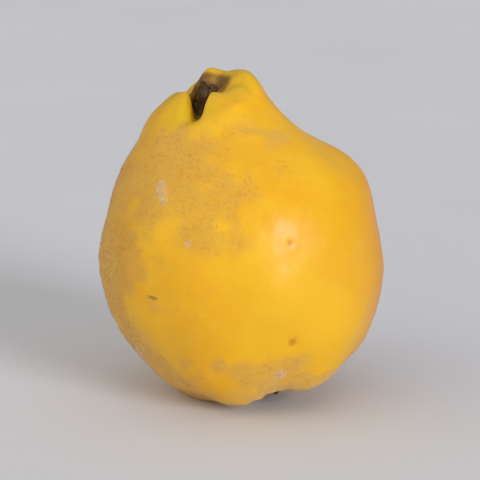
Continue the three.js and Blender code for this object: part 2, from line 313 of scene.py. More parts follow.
class Fruit:
    """The fruit's surface, with its fine detail, and the move that stands it on the ground."""

    def __init__(self, form):
        plain, self.angle, self.height, self.reach = flesh(form)
        self.turn = stance(form)
        stood = plain @ self.turn.T
        low, high = (np.array(corner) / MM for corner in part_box("fruit"))
        flat = stood.reshape(-1, 3)
        self.lift = (low + high) / 2 - (flat.min(axis=0) + flat.max(axis=0)) / 2
        self.lift[2] = -flat[:, 2].min() - form.flat_depth / MM
        self.out = normals(plain)
        self.points = plain + self.out * self.detail(plain, form)[..., None]
        self.out = normals(self.points)

    def detail(self, plain, form):
        """How far each point stands out of the bare form: lumps of three sizes, less the creases,
        dents and furrows."""
        lumps = sum(share * grain(plain, size, seed) for size, seed, share in LUMPS)
        rise = form.unevenness / MM * smooth(5, 14, self.reach) * lumps
        upper = smooth(20, 30, self.height)
        for where, low, high, width, depth in CREASES:
            round_way, _ = near(self.angle, self.height, self.reach, where, 0)
            along = smooth(low, low + 6, self.height) * (1 - smooth(high - 3, high, self.height))
            rise -= depth * upper * along * bump(round_way, 0, width) * smooth(5, 9, self.reach)
        for where, at, radius, swell in KNOBS:
            round_way, up = near(self.angle, self.height, self.reach, where, at)
            rise += swell * smooth(2.5, 5, self.reach) * np.exp(-(round_way**2 + up**2) / radius**2)
        for where, at, radius, depth in DENTS:
            round_way, up = near(self.angle, self.height, self.reach, where, at)
            rise -= depth * np.exp(-((round_way**2 + up**2) / radius**2) ** 1.5)
        # Fine furrows run out of the eye and of the hollow.
        eye = smooth(32, 38, -self.height) * smooth(3, 6, self.reach)
        eye = eye * (1 - smooth(14, 24, self.reach))
        furrows = np.sin(17 * self.angle + 2.1 * np.sin(3 * self.angle)) + 0.6 * np.sin(
            29 * self.angle + 0.25 * self.reach
        )
        rise += EYE_FURROW * eye * furrows
        hollow = smooth(46, 52, self.height) * (1 - smooth(9, 16, self.reach))
        rise += HOLLOW_FURROW * hollow * np.sin(13 * self.angle + 1.7 * np.sin(2 * self.angle))
        return rise

    def stand(self, points):
        """Leans points over with the fruit, sets them down, and turns millimetres into metres."""
        stood = points @ self.turn.T + self.lift
        return stood * MM

    def down(self):
        """How downy the skin is, from 0 to 1: broad patches with wandering outlines, and a band round
        the foot."""
        wander = grain(self.points, 24, 31) + 0.6 * grain(self.points, 9, 32)
        drift = grain(self.points, 20, 33) + 0.6 * grain(self.points, 8, 34)
        angle, height = self.angle + radians(7) * wander, self.height + 3.2 * drift
        cover = np.zeros_like(angle)
        for where, at, spread, reach, strength in DOWN_PATCHES:
            patch = bump(apart(angle, radians(where)), 0, spread)
            cover = np.maximum(cover, strength * patch * bump(height, at, reach))
        foot = 0.8 * smooth(37, 41.5, -height) * smooth(10, 16, self.reach)
        return np.clip(np.maximum(cover, foot), 0, 1)

    def scars(self):
        """How scarred the skin is, from 0 to 1: slanting ovals with ragged edges."""
        mark = np.zeros_like(self.angle)
        for where, at, half_length, half_width, slant in SCARS:
            round_way, up = near(self.angle, self.height, self.reach, where, at)
            c, s = np.cos(radians(slant)), np.sin(radians(slant))
            along, across = round_way * c + up * s, up * c - round_way * s
            oval = (along / half_length) ** 2 + (across / half_width) ** 2
            mark = np.maximum(mark, np.exp(-(oval**1.5)))
        return mark

    def pits(self):
        """How near each point is to the middle of a dent, from 0 to 1."""
        mark = np.zeros_like(self.angle)
        for where, at, radius, _ in DENTS:
            round_way, up = near(self.angle, self.height, self.reach, where, at)
            mark = np.maximum(mark, np.exp(-((round_way**2 + up**2) / radius**2)))
        return mark

    def painted_shade_orange(self):
        """How far the colour is deepened to orange, from 0 to 1: painted shade on the right flank,
        and a weaker patch low on the back.
        """
        cheek = bump(apart(self.angle, radians(6)), 0, 38) * bump(self.height, -10, 32)
        return np.maximum(cheek, 0.45 * bump(apart(self.angle, radians(120)), 0, 40)
                          * bump(self.height, -14, 20))

    def fluff(self):
        """Where lint has matted into a pale bloom, from 0 to 1: soft round spots at the tufts."""
        mark = np.zeros_like(self.angle)
        for where, at, radius in LINT:
            round_way, up = near(self.angle, self.height, self.reach, where, at)
            mark = mark + np.exp(-(round_way**2 + up**2) / (1.5 * radius) ** 2)
        return np.clip(mark, 0, 1)

    def green(self):
        """How green the skin still is: most in the cleft and the hollow, a little down the neck."""
        cleft = bump(apart(self.angle, CLEFT_ANGLE), 0, 40) * smooth(36, 46, self.height)
        rim = 0.7 * smooth(44, 52, self.height)
        foot = 0.35 * smooth(34, 41, -self.height)
        return np.clip(np.maximum(np.maximum(cleft, rim), foot), 0, 1)

    def cork_and_hollow_shade(self):
        """Where the skin is dark brown, from 0 to 1: cork in the eye, and in the stem hollow brown
        cork with painted shade, darkest deep down round the stem's foot.
        """
        eye = (1 - smooth(4.5, 7.5, self.reach)) * smooth(30, 34, -self.height)
        # Partly real cork, partly painted shade: the hollow's inner wall, darker deeper in.
        inside = np.arange(len(self.reach))[:, None] > sum(ROWS[:5])
        foot = inside * (1 - smooth(5.0, 7.8, self.reach))
        return np.maximum(eye, 0.9 * foot)


# ---- Meshes -----------------------------------------------------------------------------------


def make_mesh(name, points, corners, sizes):
    """A mesh object from arrays: points in metres, the corners of all faces in a row, and each
    face's number of corners."""
    mesh = bpy.data.meshes.new(name)
    mesh.vertices.add(len(points))
    mesh.vertices.foreach_set("co", np.ascontiguousarray(points, dtype=np.float32).ravel())
    mesh.loops.add(len(corners))
    mesh.loops.foreach_set("vertex_index", corners.astype(np.int32))
    mesh.polygons.add(len(sizes))
    starts = np.concatenate([[0], np.cumsum(sizes)[:-1]])
    mesh.polygons.foreach_set("loop_start", starts.astype(np.int32))
    mesh.update(calc_edges=True)
    mesh.validate()
    mesh.polygons.foreach_set("use_smooth", np.ones(len(mesh.polygons), dtype=bool))
    mesh.update()
    piece = bpy.data.objects.new(name, mesh)
    bpy.context.scene.collection.objects.link(piece)
    return piece


def closed_grid(rows, columns):
    """The faces of a round grid closed at both ends: a fan, rings of quads, and another fan.

    Vertex 0 is the first pole, then rows - 2 rings of the columns, then the last pole.
    """
    c = np.arange(columns)
    after = (c + 1) % columns
    ring = 1 + np.arange(rows - 2)[:, None] * columns
    low, high = ring[:-1], ring[1:]
    quads = np.stack([low + c, low + after, high + after, high + c], axis=-1).reshape(-1, 4)
    first = np.stack([np.zeros_like(c), 1 + after, 1 + c], axis=-1)
    last_ring = 1 + (rows - 3) * columns
    pole = 1 + (rows - 2) * columns
    last = np.stack([last_ring + c, last_ring + after, np.full_like(c, pole)], axis=-1)
    corners = np.concatenate([first.ravel(), quads.ravel(), last.ravel()])
    sizes = np.concatenate([np.full(columns, 3), np.full(len(quads), 4), np.full(columns, 3)])
    return corners, sizes


def grid_places(rows, columns):
    """Where each corner of closed_grid lies in a unit square: across by column, up by row."""
    left = np.arange(columns) / columns
    right, centre = left + 1 / columns, left + 0.5 / columns
    up = np.arange(rows)[:, None] / (rows - 1)
    low, high = up[1:-2], up[2:-1]

    def place(across, height):
        return np.stack(np.broadcast_arrays(across, height), axis=-1)

    first = np.stack([place(centre, up[0]), place(right, up[1]), place(left, up[1])], axis=1)
    quads = np.stack(
        [place(left, low), place(right, low), place(right, high), place(left, high)], axis=2
    )
    last = np.stack([place(left, up[-2]), place(right, up[-2]), place(centre, up[-1])], axis=1)
    return np.concatenate([part.reshape(-1, 2) for part in (first, quads, last)])


def lay_out(piece, places):
    """Gives a piece a flat map of its surface, named OFBake."""
    layer = piece.data.uv_layers.new(name="OFBake")
    layer.data.foreach_set("uv", np.ascontiguousarray(places, dtype=np.float32).ravel())


def grid_points(grid):
    """The vertices of a closed round grid whose first and last rows are each one point."""
    return np.concatenate([grid[:1, 0], grid[1:-1].reshape(-1, 3), grid[-1:, 0]])


def grid_values(values):
    """A grid of numbers in the order of grid_points."""
    return np.concatenate([values[:1, 0], values[1:-1].ravel(), values[-1:, 0]])


def round_piece(name, grid):
    """One closed piece from a round grid."""
    corners, sizes = closed_grid(*grid.shape[:2])
    piece = make_mesh(name, grid_points(grid), corners, sizes)
    lay_out(piece, grid_places(*grid.shape[:2]))
    return piece


def many_pieces(name, grids):
    """One mesh object that holds many closed shapes: grids is copies by rows by columns by 3."""
    copies, rows, columns = grids.shape[:3]
    corners, sizes = closed_grid(rows, columns)
    count = 2 + (rows - 2) * columns
    middle = grids[:, 1:-1].reshape(copies, -1, 3)
    points = np.concatenate([grids[:, :1, 0], middle, grids[:, -1:, 0]], axis=1).reshape(-1, 3)
    shift = np.arange(copies)[:, None] * count
    piece = make_mesh(name, points, (corners[None] + shift).ravel(), np.tile(sizes, copies))
    side = int(np.ceil(np.sqrt(copies)))
    cell = np.stack(np.divmod(np.arange(copies), side), axis=-1)[:, None]
    lay_out(piece, (cell + 0.05 + 0.9 * grid_places(rows, columns)[None]) / side)
    return piece


def store(piece, name, values):
    """Keeps a number for each vertex under a name that a material can read."""
    layer = piece.data.attributes.new(name, "FLOAT", "POINT")
    layer.data.foreach_set("value", np.ascontiguousarray(values, dtype=np.float32))


def belongs(piece, slot, *nodes):
    """Rides a piece on the fruit's body and hides the parts of the model that it stands for; its slot
    is not used.
    """
    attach(piece, "root")
    if nodes:
        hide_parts(*nodes)


# ---- Materials --------------------------------------------------------------------------------


class Signal:
    """A number that flows between shader nodes. Arithmetic on it adds Math nodes."""

    def __init__(self, look, socket):
        self.look = look
        self.socket = socket

    def math(self, operation, first, second=0.0):
        return self.look.node("ShaderNodeMath", {"operation": operation}, {0: first, 1: second})

    def __add__(self, other):
        return self.math("ADD", self, other)

    def __sub__(self, other):
        return self.math("SUBTRACT", self, other)

    def __rsub__(self, other):
        return self.math("SUBTRACT", other, self)

    def __mul__(self, other):
        return self.math("MULTIPLY", self, other)

    def most(self, other):
        return self.math("MAXIMUM", self, other)

    __radd__ = __add__
    __rmul__ = __mul__


class Look:
    """A material under construction."""

    def __init__(self, name):
        self.material = bpy.data.materials.new(name)
        self.material.use_nodes = True
        self.tree = self.material.node_tree
        self.tree.nodes.clear()
        self.place = self.node("ShaderNodeTexCoord", output="Object")

    def node(self, kind, settings=None, sockets=None, output=0):
        """Adds a node: its settings first, then the values or links of its sockets. Gives the
        output asked for."""
        made = self.tree.nodes.new(kind)
        for name, value in (settings or {}).items():
            setattr(made, name, value)
        for name, value in (sockets or {}).items():
            if isinstance(value, Signal):
                self.tree.links.new(value.socket, made.inputs[name])
            else:
                made.inputs[name].default_value = value
        return Signal(self, made.outputs[output]) if made.outputs else None

    def noise(self, size, detail=4.0, roughness=0.55, stretch=None):
        """Cloudy noise with lumps of about the given size in millimetres."""
        place = self.place
        if stretch:
            place = self.node("ShaderNodeMapping", None, {"Vector": place, "Scale": stretch})
        sockets = {"Vector": place, "Scale": 1 / (size * MM), "Detail": detail}
        return self.node("ShaderNodeTexNoise", None, {**sockets, "Roughness": roughness})

    def mask(self, value, low, high):
        """0 below low and 1 above high, smoothly."""
        settings = {"interpolation_type": "SMOOTHSTEP", "clamp": True}
        sockets = {"Value": value, "From Min": low, "From Max": high}
        return self.node("ShaderNodeMapRange", settings, sockets)

    def kept(self, name):
        """A number kept with the mesh."""
        return self.node("ShaderNodeAttribute", {"attribute_name": name}, output="Fac")

    def mix(self, share, first, second):
        """Colours mixed by a share."""
        colours = [c if isinstance(c, Signal) else (*c, 1) for c in (first, second)]
        return self.node(
            "ShaderNodeMix",
            {"data_type": "RGBA"},
            {0: share, 6: colours[0], 7: colours[1]},
            output=2,
        )

    def bump(self, height, depth, strength=1.0):
        """A bumped normal: the height, in parts of the depth in millimetres."""
        sockets = {"Height": height, "Distance": depth * MM, "Strength": strength}
        return self.node("ShaderNodeBump", None, sockets)

    def principled(self, sockets):
        return self.node("ShaderNodeBsdfPrincipled", None, sockets)

    def finish(self, surface):
        self.node("ShaderNodeOutputMaterial", None, {"Surface": surface})
        return self.material


def skin_look(colours):
    """Waxy golden skin, greener at the neck, under patches of grey-tan felt."""
    look = Look("quince_skin")
    cloud = look.noise(34, 3)
    blotch = look.noise(9, 4, 0.6)
    fleck = look.noise(1.6, 3, 0.6)
    ragged = look.noise(5.5, 7, 0.68)
    fibre = look.noise(0.5, 3, 0.7)

    gold = look.mix(look.mask(cloud, 0.38, 0.62), colours.deep_gold, colours.gold)
    gold = look.mix(look.mask(blotch, 0.48, 0.72) * 0.45, gold, colours.lemon)
    # Painted shade: the right flank is deepened towards dark orange.
    cheek = look.mask(look.kept("painted_shade_orange") + (blotch - 0.5) * 0.45 + (cloud - 0.5) * 0.5, 0.0, 1.0)
    gold = look.mix(cheek * 0.8, gold, colours.painted_shade_orange)
    green = look.mask(look.kept("green") + (blotch - 0.5) * 0.5, 0.15, 0.95)
    gold = look.mix(green * 0.75, gold, colours.green)

    # Lenticels: a faint fleck in some of the cells of a fine net.
    cells = {"Vector": look.place, "Scale": 1 / (3.4 * MM), "Randomness": 1.0}
    spot = look.node("ShaderNodeTexVoronoi", None, cells, output="Distance")
    tint = look.node("ShaderNodeTexVoronoi", None, cells, output="Color")
    chosen = look.mask(look.node("ShaderNodeSeparateColor", None, {0: tint}), 0.62, 0.66)
    lenticel = (1 - look.mask(spot, 0.05, 0.13)) * chosen
    gold = look.mix(lenticel * 0.35, gold, colours.russet)

    pit = look.mask(look.kept("pit") + (fleck - 0.5) * 0.3, 0.35, 0.9)
    gold = look.mix(pit * 0.75, gold, colours.russet)
    scar = look.mask(look.kept("scar") + (fleck - 0.5) * 0.5, 0.3, 0.7)
    gold = look.mix(scar * 0.8, gold, colours.scar)

    # Brown cork in the eye; in the stem hollow the brown is partly painted shade on the inner wall.
    cork_and_hollow_shade = look.mask(look.kept("cork_and_hollow_shade") + (fleck - 0.5) * 0.3, 0.3, 0.8)
    bare = look.mix(cork_and_hollow_shade, gold, look.mix(fleck, colours.bark, colours.scar))

    down = look.mask(look.kept("down") + (ragged - 0.5) * 0.8, 0.20, 0.85)
    down = down * (1 - scar * 0.7)
    felt = look.mix(look.mask(fibre, 0.3, 0.7), colours.felt, colours.felt_shade)
    felt = look.mix(0.45, felt, gold)
    fluff = look.mask(look.kept("fluff") + (fleck - 0.5) * 0.6, 0.15, 0.95)
    felt = look.mix(fluff * 0.75, felt, colours.lint)
    down = down.most(fluff * 0.8)

    wax = look.principled({
        "Base Color": bare,
        "Roughness": 0.45 + (blotch - 0.5) * 0.08 + cork_and_hollow_shade * 0.45 + scar * 0.2,
        "IOR": 1.45,
        "Specular IOR Level": 0.43,
        "Subsurface Weight": 0.10,
        "Subsurface Radius": (1.0, 0.45, 0.12),
        "Subsurface Scale": 0.003,
        "Coat Weight": 0.15,
        "Coat Roughness": 0.24,
        "Normal": look.bump(fleck * 0.3 + blotch * 0.2 + lenticel * 0.4, 0.09, 0.6),
    })
    wool = look.principled({
        "Base Color": felt,
        "Roughness": 0.92,
        "Specular IOR Level": 0.25,
        "Sheen Weight": 0.55,
        "Sheen Roughness": 0.45,
        "Sheen Tint": (1.0, 0.86, 0.62, 1.0),
        "Normal": look.bump(fibre * 0.7 + ragged * 0.5, 0.5, 0.85),
    })
    return look.finish(look.node("ShaderNodeMixShader", None, {0: down * 0.84, 1: wax, 2: wool}))


def hair_look(colours):
    """Tan wool, and paler lint."""
    look = Look("quince_down")
    pale = look.mask(look.noise(6, 3) + look.kept("pale"), 0.35, 0.95)
    shade = look.mix(pale, colours.felt, colours.hair)
    return look.finish(look.principled({
        "Base Color": shade,
        "Roughness": 0.75,
        "Specular IOR Level": 0.3,
        "Sheen Weight": 0.25,
    }))


def bark_look(colours):
    """Grey-brown bark in lengthwise ridges, paler where it has snapped."""
    look = Look("quince_bark")
    fine = look.noise(0.9, 5, 0.7, (1.0, 1.0, 0.22))
    coarse = look.noise(2.2, 4, 0.6)
    bark = look.mix(look.mask(fine, 0.35, 0.68), colours.bark, colours.bark_light)
    bark = look.mix(look.mask(coarse, 0.52, 0.75) * 0.5, bark, colours.lichen)
    snapped = look.mask(look.kept("snapped") + (fine - 0.5) * 0.5, 0.35, 0.75)
    wood = look.mix(look.mask(fine, 0.3, 0.7), colours.snapped_wood, colours.bark_light)
    return look.finish(look.principled({
        "Base Color": look.mix(snapped, bark, wood),
        "Roughness": 0.84 + (coarse - 0.5) * 0.2,
        "Specular IOR Level": 0.3,
        "Normal": look.bump(fine * 0.8 + coarse * 0.3, 0.35, 0.9),
    }))


def withered_look(colours):
    """Dry sepals and stamens: near black with brown edges and a grey bloom."""
    look = Look("quince_withered")
    cloud = look.noise(1.8, 5, 0.65)
    fibre = look.noise(0.5, 4, 0.7)
    brown = look.mix(look.mask(cloud, 0.35, 0.7), colours.withered, colours.bark_light)
    brown = look.mix(look.mask(fibre, 0.6, 0.8) * 0.5, brown, colours.lichen)
    return look.finish(look.principled({
        "Base Color": brown,
        "Roughness": 0.88 + (fibre - 0.5) * 0.15,
        "Specular IOR Level": 0.25,
        "Sheen Weight": 0.2,
        "Normal": look.bump(fibre * 0.6 + cloud * 0.6, 0.3, 0.9),
    }))


def floor_look(colours):
    """Smooth pale paper, a little uneven in tone."""
    look = Look("pale_floor")
    cloud = look.noise(240, 2)
    shade = tuple(0.97 * c for c in colours.floor)
    tone = look.mix(look.mask(cloud, 0.3, 0.7), colours.floor, shade)
    return look.finish(look.principled({
        "Base Color": tone,
        "Roughness": 0.85 + (cloud - 0.5) * 0.1,
        "Specular IOR Level": 0.08,
        "Normal": look.bump(look.noise(1.2, 3), 0.02, 0.4),
    }))


# ---- What a user can change -------------------------------------------------------------------


def length_property(name, description, default):
    return FloatProperty(
        name=name, description=description, default=default, min=0.0, unit="LENGTH", precision=5
    )


def colour_property(name, description, default):
    return FloatVectorProperty(
        name=name, description=description, default=default, size=3, min=0.0, max=1.0,
        subtype="COLOR",
    )


class QuinceForm(bpy.types.PropertyGroup):
    """Sizes of the fruit and of how it stands."""

    lean_left: FloatProperty(
        name="Lean to its left", description="How far the stem end leans left",
        default=radians(14), subtype="ANGLE",
    )
    lean_back: FloatProperty(
        name="Lean back", description="How far the stem end leans back",
        default=radians(12), subtype="ANGLE",
    )
    flat_depth: length_property("Flat spot depth", "How much the foot is flattened", 0.0028)
    cleft_width: length_property("Cleft width", "Width of the cleft in the neck", 0.0063)
    lobe_swell: length_property("Lobe swell", "How far the neck's lobes swell", 0.0009)
    side_swell: length_property("Neck side swell", "How much fuller the neck's right is", 0.0033)
    rib_swell: length_property("Rib swell", "How far the ribs round the eye swell", 0.0011)
    unevenness: length_property("Unevenness", "Height of the skin's broad lumps", 0.00028)


class QuinceStem(bpy.types.PropertyGroup):
    """Sizes of the stem's stub."""

    radius: length_property("Radius", "Radius of the stub", 0.0024)
    ridge: length_property("Ridge height", "Height of the bark's ridges", 0.0003)
    splinter: length_property("Splinter length", "Unevenness of the snapped end", 0.0006)


class QuinceFlower(bpy.types.PropertyGroup):
    """Sizes of the withered flower in the eye."""

    sepal_length: length_property("Sepal length", "Length of a whole sepal", 0.0072)
    sepal_width: length_property("Sepal width", "Width of a sepal at its root", 0.0042)
    sepal_thickness: length_property("Sepal thickness", "Thickness of a sepal", 0.0004)
    stamen_length: length_property("Stamen length", "Length of a dried stamen", 0.0046)
    stamens: IntProperty(name="Stamens", description="Stamens in the tuft", default=22, min=1)


class QuinceDown(bpy.types.PropertyGroup):
    """Sizes of the down."""

    hairs: IntProperty(name="Hairs", description="Hairs on the whole fruit", default=16000, min=1)
    hair_length: length_property("Hair length", "Length of a hair", 0.0011)
    hair_radius: length_property("Hair radius", "Radius of a hair at its root", 0.00005)
    fibres: IntProperty(name="Fibres", description="Fibres in each tuft of lint", default=70, min=1)


class QuinceColours(bpy.types.PropertyGroup):
    """Colours of the fruit and of the floor."""

    gold: colour_property("Gold", "The ripe skin", (0.87, 0.475, 0.006))
    deep_gold: colour_property("Deep gold", "The ripest skin", (0.83, 0.41, 0.003))
    lemon: colour_property("Lemon", "Paler blotches", (0.88, 0.53, 0.020))
    green: colour_property("Green", "The last green at the neck", (0.62, 0.41, 0.004))
    # Painted shade: the dark orange laid on the right flank.
    painted_shade_orange: colour_property("Painted shade orange", "The warmest side", (0.62, 0.21, 0.002))
    russet: colour_property("Russet", "Pits and lenticels", (0.62, 0.20, 0.012))
    scar: colour_property("Scar", "Rubbed scars", (0.34, 0.17, 0.02))
    felt: colour_property("Felt", "The down on the skin", (0.71, 0.39, 0.085))
    felt_shade: colour_property("Felt shade", "The down's darker tufts", (0.63, 0.335, 0.058))
    hair: colour_property("Hair", "The palest hairs", (0.95, 0.76, 0.50))
    lint: colour_property("Lint", "Matted lint", (0.80, 0.52, 0.25))
    bark: colour_property("Bark", "The stem's dark bark", (0.045, 0.020, 0.009))
    bark_light: colour_property("Bark ridges", "The bark's ridges", (0.15, 0.085, 0.030))
    lichen: colour_property("Bloom", "Grey-green bloom on dead wood", (0.20, 0.17, 0.09))
    snapped_wood: colour_property("Snapped wood", "The broken end", (0.42, 0.24, 0.10))
    withered: colour_property("Withered", "Sepals and stamens", (0.022, 0.012, 0.006))
    floor: colour_property("Floor", "The floor", (0.715, 0.73, 0.82))


# ---- Operators --------------------------------------------------------------------------------


class BuildFruit(bpy.types.Operator):
    """Build the fruit: flesh and skin in one closed surface"""

    bl_idname = "quince.fruit"
    bl_label = "Fruit"

    def execute(self, context):
        fruit = Fruit(context.scene.quince_form)
        grid = fruit.stand(fruit.points)
        grid[..., 2] = np.maximum(grid[..., 2], 0.0)
        piece = round_piece("quince_fruit", grid)
        marks = {
            "down": fruit.down, "scar": fruit.scars, "pit": fruit.pits, "green": fruit.green,
            "cork_and_hollow_shade": fruit.cork_and_hollow_shade, "painted_shade_orange": fruit.painted_shade_orange, "fluff": fruit.fluff,
        }
        for name, mark in marks.items():
            store(piece, name, grid_values(mark()))
        piece.data.materials.append(skin_look(context.scene.quince_colours))
        belongs(piece, "skin", "fruit")
        return {"FINISHED"}


class BuildStem(bpy.types.Operator):
    """Build the snapped stub of the stem, with its ridged bark and splintered end"""

    bl_idname = "quince.stem"
    bl_label = "Stem stub"

    FOOT = np.array([-1.6, -1.6, 41.6])
    TIP = np.array([4.9, -0.4, 52.6])

    def stub(self, sizes):
        """A round shaft along a slightly bowed line from the foot to the tip. Its radius is the
        stub's, plus a bell at each end, plus the bark's ridges. Over the snapped face the rows run
        in to the middle, and the height goes from the ragged rim's to a lower middle's with the
        square of the radius. Gives the grid, and how snapped each point is."""
        side, top, columns = 70, 26, 96  # rows up the side, rows over the snapped face, columns
        turn = np.arange(columns) / columns * TURN
        length = np.linalg.norm(self.TIP - self.FOOT)

        # Bark ridges: sines of three pitches round the shaft that wander a little on the way up.
        def ridges(share):
            wander = 0.5 * np.sin(4 * share)
            return (
                np.sin(7 * turn + wander)
                + 0.6 * np.sin(13 * turn - 2 * wander + 1)
                + 0.35 * np.sin(23 * turn + 5 * share)
            )

        # The side, then the snapped face: a ragged rim, with the wood torn out lower inside.
        share = np.linspace(0, 1, side)[:, None]
        radius = sizes.radius / MM
        swell = 0.35 * bump(share, 0, 0.22) + 0.7 * bump(share, 1.0, 0.3)
        out = radius + swell + sizes.ridge / MM * 0.6 * (ridges(share) - 1.2)
        ragged = sizes.splinter / MM * (
            0.7 * np.sin(turn + 2.2) + 0.45 * np.sin(3 * turn + 1) + 0.4 * np.sin(8 * turn)
            + 0.25 * np.sin(19 * turn + 2)
        )
        rise = share * (length - 1.0) + ragged * share**3
        inward = np.linspace(1, 0, top + 1)[1:, None]
        rim_out, rim_rise = out[-1:], rise[-1:]
        torn_out = rim_out * inward
        torn = rim_rise * inward**2 + (length - 1.5) * (1 - inward**2)
        torn = torn + 0.35 * np.sin(9 * turn + 11 * inward) * inward * (1 - inward) * 3
        torn = torn - 0.5 * bump(inward, 0.8, 0.12)
        foot_out = out[:1] * np.linspace(0, 1, 8)[:-1, None]
        outs = np.concatenate([foot_out, out, torn_out])
        rises = np.concatenate([np.zeros_like(foot_out), rise, torn])
        snapped = np.concatenate([
            0 * foot_out, np.repeat(smooth(0.93, 1.0, share), columns, axis=1), 1 + 0 * torn_out,
        ])

        axis = (self.TIP - self.FOOT) / length
        across = np.cross(axis, [0, 1, 0])
        across /= np.linalg.norm(across)
        forward = np.cross(axis, across)
        bend = 0.35 * np.sin(np.pi * rises / length)[..., None]
        grid = (
            self.FOOT
            + axis * rises[..., None]
            + across * (outs * np.cos(turn))[..., None]
            + forward * (outs * np.sin(turn))[..., None]
            + across * bend
        )
        rough = 0.12 * grain(grid, 1.6, 7) + 0.06 * grain(grid, 0.7, 8)
        grid = grid + normals(grid) * (rough * smooth(0.2, 1.0, outs))[..., None]
        grid[0], grid[-1] = grid[0].mean(axis=0), grid[-1].mean(axis=0)
        return grid, snapped

    def execute(self, context):
        fruit = Fruit(context.scene.quince_form)
        grid, snapped = self.stub(context.scene.quince_stem)
        piece = round_piece("stem_stub_bark", fruit.stand(grid))
        store(piece, "snapped", grid_values(snapped))
        piece.data.materials.append(bark_look(context.scene.quince_colours))
        belongs(piece, "bark", "stem_stub")
        return {"FINISHED"}


class BuildFlower(bpy.types.Operator):
    """Build what is left of the flower: five withered sepals and the dried stamens"""

    bl_idname = "quince.flower"
    bl_label = "Withered flower"

    ROOT_RADIUS, ROOT_HEIGHT = 4.3, -37.2
    TUFT_RADIUS, TUFT_HEIGHT = 2.4, -34.5
    # Degrees below level at the root, degrees of curl by the tip, share of the full length.
    HABITS = ((58, 46, 1.3), (60, 24, 0.7), (76, 50, 0.8), (58, 30, 0.8), (68, 30, 0.62))

    def sepal(self, index, sizes):
        """A thin pointed blade bent along an arc: a flattened round section, carried from the
        root to the tip, with a toothed edge and crinkled faces."""
        dip, curl, share = self.HABITS[index]
        rows, columns = 54, 44
        along = np.linspace(0, 1, rows)[:, None]
        turn = np.arange(columns)[None] / columns * TURN
        length = share * sizes.sepal_length / MM
        blade = np.sqrt(np.clip(4 * along * (1 - along), 0, 1)) ** 0.8 * (1 - 0.5 * along)
        tooth = 1 + 0.10 * np.abs(np.sin(11 * np.pi * along)) * smooth(0.15, 0.4, along)
        side = sizes.sepal_width / MM / 2 * blade * tooth * np.cos(turn)
        rise = sizes.sepal_thickness / MM / 2 * blade**0.5 * np.sin(turn)
        crinkle = 0.16 * np.sin(2.4 * side + 5 * along + index) * np.sin(9 * along + 2 * index)
        rise = rise + (0.22 * side**2 * (0.4 + along) + crinkle * smooth(0, 0.3, along)) * 0.9
        bent = radians(curl) * along
        radius = length / radians(curl)
        forward = radius * np.sin(bent) - rise * np.sin(bent)
        drop = radius * (1 - np.cos(bent)) + rise * np.cos(bent)
        c, s = np.cos(radians(dip)), np.sin(radians(dip))
        out = forward * c + drop * s + self.ROOT_RADIUS
        high = -forward * s + drop * c + self.ROOT_HEIGHT
        heading = RIB_ANGLE + (index + 0.5) / len(self.HABITS) * TURN
        ch, sh = np.cos(heading), np.sin(heading)
        grid = np.stack([out * ch - side * sh, out * sh + side * ch, high], axis=-1)
        grid[0], grid[-1] = grid[0].mean(axis=0), grid[-1].mean(axis=0)
        return grid

    def tuft(self, sizes):
        """The stamens: round threads rooted along a spiral on the cushion. Each runs out of the
        eye in a straight line and sideways along a parabola, and thickens to a shrivelled knob."""
        draw = np.random.default_rng(SEED + 40)
        count, rows, columns = sizes.stamens, 18, 10
        heading = np.arange(count)[:, None, None] * 2.4
        start = self.TUFT_RADIUS * 0.86 * np.sqrt((np.arange(count)[:, None, None] + 0.3) / count)
        along = np.linspace(0, 1, rows)[None, :, None]
        turn = np.arange(columns)[None, None] / columns * TURN
        length = sizes.stamen_length / MM * draw.uniform(0.6, 1.0, (count, 1, 1))
        splay = draw.uniform(0.0, 0.35, (count, 1, 1)) * start / self.TUFT_RADIUS
        twist = draw.uniform(-0.7, 0.7, (count, 1, 1)) * along**2
        thick = 0.13 + 0.20 * bump(along, 0.93, 0.07) + 0.05 * bump(along, 0.0, 0.2)
        thick = thick * np.sqrt(np.clip(1 - np.abs(2 * along - 1) ** 14, 0, 1))
        out = start + length * along * (splay + 0.5 * splay * along)
        x = out * np.cos(heading + twist) + thick * np.cos(turn)
        y = out * np.sin(heading + twist) - thick * np.sin(turn)
        z = self.TUFT_HEIGHT + 0.3 - length * along + 0 * turn
        return np.stack([x, y, z], axis=-1)

    def cushion(self):
        """The cushion of the stamens: a ball flattened to a quarter of its height, wrinkled."""
        rows, columns = 22, 48
        lift = np.linspace(0, np.pi, rows)[:, None]
        turn = np.arange(columns)[None] / columns * TURN
        out = self.TUFT_RADIUS * np.sin(lift) * (1 + 0.05 * np.sin(10 * turn))
        return np.stack([
            out * np.cos(turn), out * np.sin(turn),
            self.TUFT_HEIGHT - 0.6 * np.cos(lift) + 0 * turn,
        ], axis=-1)

    def execute(self, context):
        sizes = context.scene.quince_flower
        fruit = Fruit(context.scene.quince_form)
        look = withered_look(context.scene.quince_colours)
        for index in range(len(self.HABITS)):
            grid = self.sepal(index, sizes)
            piece = round_piece(f"withered_sepal_{index + 1}", fruit.stand(grid))
            piece.data.materials.append(look)
            belongs(piece, "withered", f"sepal_{index + 1}")
        stamens = many_pieces("dried_stamens", fruit.stand(self.tuft(sizes)))
        cushion = round_piece("stamen_cushion", fruit.stand(self.cushion()))
        for piece in (stamens, cushion):
            piece.data.materials.append(look)
        belongs(stamens, "withered", "stamen_tuft")
        belongs(cushion, "withered")
        return {"FINISHED"}


